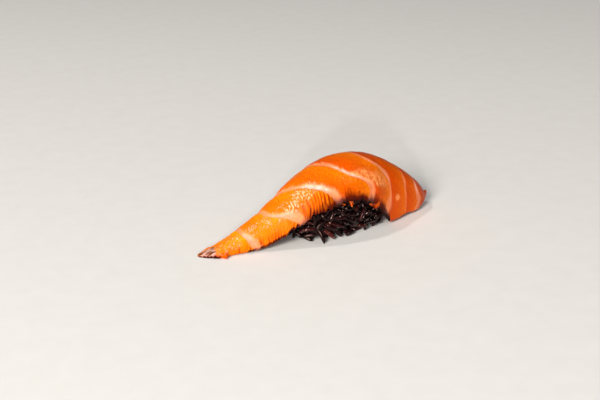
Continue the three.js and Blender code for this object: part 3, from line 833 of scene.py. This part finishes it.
def fish_section(x0):
    """Outline of the slice at x0, grown by its clearance, as (y, z) points."""
    m, f, b, c, hem_f, hem_b = station_at(x0)
    angle = np.linspace(0, np.pi / 2, 13)
    wide, deep = np.sin(angle) ** ARCH, np.cos(angle) ** ARCH
    halves = []
    for sign, width, low in ((-1, f, max(0, hem_f)), (1, b, max(0, hem_b))):
        thick = min(HEM_THICKNESS, HEM_SHARE * width)
        hem = low + thick / 2
        under = max(low, c - SLICE_THICKNESS)
        base = min(hem, under)
        outer = np.stack([m + sign * wide * (width + FISH_CLEARANCE), hem + deep * (c - hem)], -1)
        lip = [[m + sign * (width - thick / 2), low - FISH_CLEARANCE]]
        inner_width = width - thick - FISH_CLEARANCE
        inner = np.stack([m + sign * wide * inner_width,
                          base + deep * (under - base - FISH_CLEARANCE)], -1)
        halves.append(np.concatenate([outer, lip, inner[::-1]]))
    return np.concatenate([halves[0][::-1], halves[1]])


SECTIONS = [fish_section(s) for s in np.arange(SECTION_START, STATIONS[-1, 0] - 0.3, SECTION_STEP)]


def in_fish(grain):
    """Whether any of these points lies in the slice."""
    for x0, y0, z0 in grain:
        index = round((x0 - SECTION_START) / SECTION_STEP)
        if not 0 <= index < len(SECTIONS):
            continue
        a, b = SECTIONS[index], np.roll(SECTIONS[index], 1, axis=0)
        crosses = (a[:, 1] > z0) != (b[:, 1] > z0)
        a, b = a[crosses], b[crosses]
        at = (b[:, 0] - a[:, 0]) * (z0 - a[:, 1]) / (b[:, 1] - a[:, 1]) + a[:, 0]
        if np.count_nonzero(y0 < at) % 2:
            return True
    return False


print("fish outlines:", len(SECTIONS))

# %% [markdown]
# One grain is a spindle: a ring of points at each stop along its length, blunt at the ends, bent a
# little, with the shallow crease that the bran leaves along one side. Long grains of black rice stay
# slender when they are cooked.

# %% One grain of cooked black rice
AROUND, STOPS = 10, 13


def grain_points(length, width, bend, twist):
    """A spindle along Y, in mm: its rings of points, then its two poles."""
    t = np.cos(np.linspace(np.pi, 0, STOPS))[1:-1]
    radius = width / 2 * (1 - np.abs(t) ** 2.8) ** 0.6
    angle = np.arange(AROUND) * 2 * np.pi / AROUND
    from_crease = (angle + np.pi) % (2 * np.pi) - np.pi
    crease = 1 - 0.2 * np.exp(-((from_crease / 0.45) ** 2))
    r = radius[:, None] * crease[None]
    turn = angle[None] + twist * t[:, None]
    rings = np.stack([r * np.cos(turn) + bend * (t**2)[:, None],
                      np.broadcast_to(t[:, None] * length / 2, r.shape),
                      r * np.sin(turn) * 0.86], -1).reshape(-1, 3)
    poles = np.array([[bend, -length / 2, 0], [bend, length / 2, 0]])
    return np.concatenate([rings, poles])


def turned(local, lengthwise, outward):
    """Grain points turned so the grain lies lengthwise and shows its upper side outward."""
    lengthwise = lengthwise / np.linalg.norm(lengthwise)
    side = np.cross(lengthwise, outward)
    side /= np.linalg.norm(side)
    return local @ np.stack([side, lengthwise, np.cross(side, lengthwise)])


print("faces in a grain:", len(closed_grid_faces(STOPS - 2, AROUND)))

# %% [markdown]
# The grains that catch the eye at the front are listed one by one: a few long ones lie along the
# foot, some stand on their ends, and one has turned red-brown.

# %% Grains listed one by one: centre x, y, z, then how far the grain runs in x, y, z, mm, and its tint
FRONT_GRAINS = [
    (-17.6, -9.6, 6.0, 6.2, -3.4, 1.3, 0.88),
    (-16.1, -9.4, 3.0, 5.2, -3.7, 1.7, 0.6),
    (-12.2, -12.7, 2.9, 0.9, -2.6, -4.5, 0.55),
    (-8.4, -12.9, 3.1, 4.4, -1.2, -4.0, 0.97),
    (-8.0, -12.7, 5.6, 5.4, -0.3, -2.2, 0.7),
    (-4.2, -12.6, 2.9, 3.8, 1.0, -4.0, 0.6),
    (-4.0, -13.0, 5.9, 6.2, 0.0, -2.7, 0.85),
    (1.8, -12.9, 1.3, 6.8, 2.0, 0.2, 0.6),
    (8.3, -12.5, 2.9, 6.6, 1.2, -2.4, 0.9),
    (-3.1, -12.9, 9.1, 5.8, -0.5, -0.8, 0.75),
    (8.2, -12.9, 8.2, 3.0, 0.8, 5.2, 0.8),
    (8.8, -12.6, 11.0, 5.6, 0.6, -1.0, 0.3),
    (13.2, -11.8, 3.8, 5.8, 1.4, -0.8, 0.4),
    (17.1, -10.6, 4.1, 2.9, -0.1, 5.0, 0.5),
    (-12.4, -11.6, 7.5, 4.0, -0.6, 3.6, 0.4),
    (-8.4, -12.4, 9.2, 5.6, -0.6, 1.4, 0.3),
    (0.2, -12.5, 12.4, 5.7, -0.4, -2.4, 0.1),
    (3.4, -13.0, 9.4, 6.0, 0.1, -0.9, 0.3),
]
print("grains laid by hand:", len(FRONT_GRAINS))

# %% [markdown]
# The other grains are tried one after another at random places on the block, first the outer layer
# and then two deeper ones that show through its gaps. Letting them fall with rigid body physics
# would take minutes, and they wouldn't lie as tight as pressed rice. Each grain is known by seven
# points on its spine, and it stays only if its spine keeps nearly a grain's width from every other
# spine and the grain is clear of the fish.

# %% Lay the grains
SPINE = np.linspace(-0.36, 0.36, 7)
CLOSE, BY_HAND_CLOSE = 0.82, 0.5  # shares of a grain's width: grains squeeze a little together
HIDDEN_ABOVE_HEM = 3.2  # mm; higher up, the fish hides the rice
LAYERS = [(0.5, 7000), (1.7, 5000), (3.0, 4000)]  # mm below the surface, and tries
LONG, THICK = (5.8, 7.2), (1.8, 2.25)  # mm, from and to
TABLE_TOUCH = 0.02  # mm over the table of the lowest point
SUNK, LIFTED_TO = 0.3, (1.0, 1.4)  # mm: a grain whose middle is lower than the first is laid anew
TOWARDS_VIEWER = np.array([-0.3, -0.85, 0.4])


def lay_grains(seed):
    """Points, faces and tints of all grains as one mesh, and their number."""
    rng = np.random.default_rng(seed)
    faces_one = closed_grid_faces(STOPS - 2, AROUND)
    spines = np.zeros((0, 3))
    all_points, all_faces, tints = [], [], []

    def lay(centre, lengthwise, out, tint, room):
        """Lays one grain if there is room, and says whether it did."""
        nonlocal spines, all_faces
        length, width = rng.uniform(*LONG), rng.uniform(*THICK)
        bend, twist = rng.uniform(-0.5, 0.5), rng.uniform(-0.6, 0.6)
        lengthwise = lengthwise / np.linalg.norm(lengthwise)
        spine = centre + SPINE[:, None] * length * lengthwise
        gaps = np.linalg.norm(spines[:, None] - spine[None], axis=2)
        if gaps.size and gaps.min() < room * width:
            return False
        grain = turned(grain_points(length, width, bend, twist), lengthwise, out) + centre
        raised = max(0.0, TABLE_TOUCH - grain[:, 2].min())
        grain[:, 2] += raised
        if in_fish(grain[::3]):
            return False
        spines = np.concatenate([spines, spine + [0, 0, raised]])
        all_faces += [tuple(len(tints) * len(grain) + i for i in face) for face in faces_one]
        all_points.append(grain)
        tints.append(tint)
        return True

    for row in FRONT_GRAINS:
        if not lay(np.array(row[:3]), np.array(row[3:6]), TOWARDS_VIEWER, row[6], BY_HAND_CLOSE):
            print("no room for", row)
    for sunk, tries in LAYERS:
        direction = rng.normal(size=(tries, 3))
        direction /= np.linalg.norm(direction, axis=1)[:, None]
        surface = block_surface(direction)
        normal = direction / [TAIL_END[0], BLOCK["half_width"], BLOCK["above"]]
        normal /= np.linalg.norm(normal, axis=1)[:, None]
        for place, out in zip(surface, normal):
            spin, tilt, lift = rng.uniform(0, np.pi), rng.normal(0, 0.3), rng.uniform(-0.5, 0.5)
            centre = place - out * (sunk + lift)
            if centre[2] < SUNK:
                centre[2] = rng.uniform(*LIFTED_TO)
            crown_y, _, _, _, hem_f, hem_b = station_at(centre[0])
            hem = hem_f if centre[1] < crown_y else hem_b
            if centre[2] > max(hem, 2.5) + HIDDEN_ABOVE_HEM:
                continue
            level = np.array([-out[1], out[0], 0.0])
            level /= np.linalg.norm(level)
            lengthwise = np.cos(spin) * level + np.sin(spin) * np.cross(out, level) + tilt * out
            lay(centre, lengthwise, out, rng.random() ** 1.3, CLOSE)
    return np.concatenate(all_points), all_faces, np.repeat(tints, len(all_points[0])), len(tints)


grain_cloud, grain_faces, grain_tint, grain_count = lay_grains(seed=4)
print("grains:", grain_count, "faces:", len(grain_faces))

# %% [markdown]
# Black rice keeps its purple bran when it is cooked. The bran is shiny with starch water, so a grain
# is nearly black with small hard highlights, and a few grains have turned red-brown. Pale specks a
# third of a millimetre wide stand for crumbs of starch and for painted glints on the wet bran: they
# are the peaks of a noise whose lumps are three times as wide.

# %% Material: cooked black rice
WORN_SPOTS, CRUMBS_AND_GLINTS, WRINKLES = 1.4 / MM, 0.9 / MM, 1 / MM  # lumps to the metre, about 1 mm wide

rice, tree, shader = new_material("cooked_black_rice")
tint = add(tree, "Attribute", {"attribute_name": "tint"}).node.outputs["Fac"]
bran = add(tree, "ValToRGB", {}, tint)
stops = bran.node.color_ramp.elements
stops[0].position, stops[0].color = 0.0, linear("#0A0304")
stops[1].position, stops[1].color = 1.0, linear("#5C221A")
for where, hexed in ((0.6, "#160506"), (0.85, "#2C0C0E"), (0.94, "#441614")):
    extra = stops.new(where)
    extra.color = linear(hexed)
object_metres = add(tree, "TexCoord", {}).node.outputs["Object"]
worn = add(tree, "TexNoise", {}, object_metres, WORN_SPOTS, 3.0)
bran = add(tree, "Mix", COLOURS, add(tree, "Math", TIMES, worn, 0.6), bran, linear("#0B0406"))
# Starch crumbs and painted glints: the pale specks are partly painted highlights.
crumbs_and_glints = add(tree, "TexNoise", {}, object_metres, CRUMBS_AND_GLINTS, 2.0, 0.6)
crumbs_and_glints = add(tree, "Math", HELD, crumbs_and_glints, 14.0, -9.2)
bran = add(tree, "Mix", COLOURS, crumbs_and_glints, bran, linear("#C8A69A"))
tree.links.new(bran, shader.inputs["Base Color"])
tree.links.new(add(tree, "Math", TIMES_PLUS, worn, 0.2, 0.03), shader.inputs["Roughness"])
set_sockets(shader, {
    "IOR": 1.45, "Specular IOR Level": 0.28, "Specular Tint": linear("#FFCFC4")})
wrinkle = add(tree, "TexNoise", {}, object_metres, WRINKLES, 3.0)
bump = add(tree, "Bump", {}, Strength=0.5, Distance=0.4 * MM, Height=wrinkle)
tree.links.new(bump, shader.inputs["Normal"])

rice_grains = build_mesh(
    "rice_grains", grain_cloud + PLACE, grain_faces, {"tint": grain_tint}, rice)
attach(rice_grains, "root")
print("rice material has", len(tree.nodes), "nodes")

# %% [markdown]
# Where the arch of the hem lies on the rice, its torn fibres stick out as small shreds. Each one is
# a little spindle, shaped like a grain but finer, and its middle lies inside the hem, so that none
# hangs loose.

# %% Shreds along the torn hem: place along the slice, height over the hem, length, width, mm, slope
SHREDS = [
    (-3.4, 0.8, 1.6, 0.7, -0.3),
    (-0.1, 0.6, 3.4, 0.9, -2.0),
    (0.7, 1.0, 2.2, 0.6, -1.2),
    (10.9, 0.5, 2.0, 0.7, -0.8),
    (13.6, 0.4, 1.6, 0.6, -0.6),
]


def lay_shreds(seed):
    """Points and faces of all the shreds as one mesh."""
    rng = np.random.default_rng(seed)
    faces_one = closed_grid_faces(STOPS - 2, AROUND)
    shreds, faces = [], []
    for k, (x0, rise, length, width, fall) in enumerate(SHREDS):
        crown_y, f, _, _, hem_f, _ = station_at(x0)
        centre = [x0, crown_y - f + rng.uniform(0.0, 0.4), hem_f + rise]
        way = np.array([1.0, rng.uniform(-0.4, 0.0), fall])
        one = grain_points(length, width, rng.uniform(-0.4, 0.4), 0.3)
        faces += [tuple(k * len(one) + i for i in face) for face in faces_one]
        shreds.append(turned(one, way, TOWARDS_VIEWER) + centre)
    return np.concatenate(shreds), faces


shred_points, shred_faces = lay_shreds(seed=11)
each = np.ones(len(shred_points))
salmon_shreds = build_mesh(
    "salmon_shreds", shred_points + PLACE, shred_faces,
    {"skin_mm": shred_points, "fibre_mm": shred_points * 1.6, "redness_and_top_shade": 0.6 * each,
     "wet_and_glints": 0.3 * each, "stain_and_shade": 0.3 + 0.2 * uneven(shred_points[:, 0], 0 * each, 44)},
    salmon)
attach(salmon_shreds, "root")
print("shreds:", len(SHREDS))

# %% [markdown]
# The core is the same block, drawn in by about a grain's width and kept under the fish, so that no
# light shows through between the grains.

# %% The dark core between the grains
CORE_SHRINK, CORE_UNDER_FISH, CORE_OVER_TABLE = 2.3, 0.5, 0.25  # mm
CORE_RIM = 0.98  # share across up to which it follows the underside of the fish
CORE_AROUND, CORE_LEVELS = 72, 40

round_angle = np.arange(CORE_AROUND) * 2 * np.pi / CORE_AROUND
level_angle = np.linspace(-np.pi / 2, np.pi / 2, CORE_LEVELS + 2)[1:-1]
level_angle, round_angle = np.meshgrid(level_angle, round_angle, indexing="ij")
unit = np.stack([np.cos(level_angle) * np.cos(round_angle),
                 np.cos(level_angle) * np.sin(round_angle),
                 np.sin(level_angle)], -1).reshape(-1, 3)
unit = np.concatenate([unit, [[0, 0, -1], [0, 0, 1]]])
core = block_surface(unit) - unit * CORE_SHRINK
crown_y, f, b, c, hem_f, hem_b = station(core[:, 0])
width = np.where(core[:, 1] < crown_y, f, b)
low = np.maximum(0, np.where(core[:, 1] < crown_y, hem_f, hem_b))
inner = width - np.minimum(HEM_THICKNESS, HEM_SHARE * width)
across = np.clip(np.abs(core[:, 1] - crown_y) / np.maximum(1, inner), 0, CORE_RIM)
base = low + HEM_THICKNESS / 2
ceiling = base + np.sqrt(1 - across**2) * (c - SLICE_THICKNESS - base) - CORE_UNDER_FISH
core[:, 2] = np.clip(np.minimum(core[:, 2], ceiling), CORE_OVER_TABLE, None)
core_faces = [face[::-1] for face in closed_grid_faces(CORE_LEVELS, CORE_AROUND)]
rice_core = build_mesh(
    "rice_core", core + PLACE, core_faces, {"tint": np.full(len(core), 0.05)}, rice)
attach(rice_core, "root")
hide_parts("rice_ball")
print("core faces:", len(core_faces))
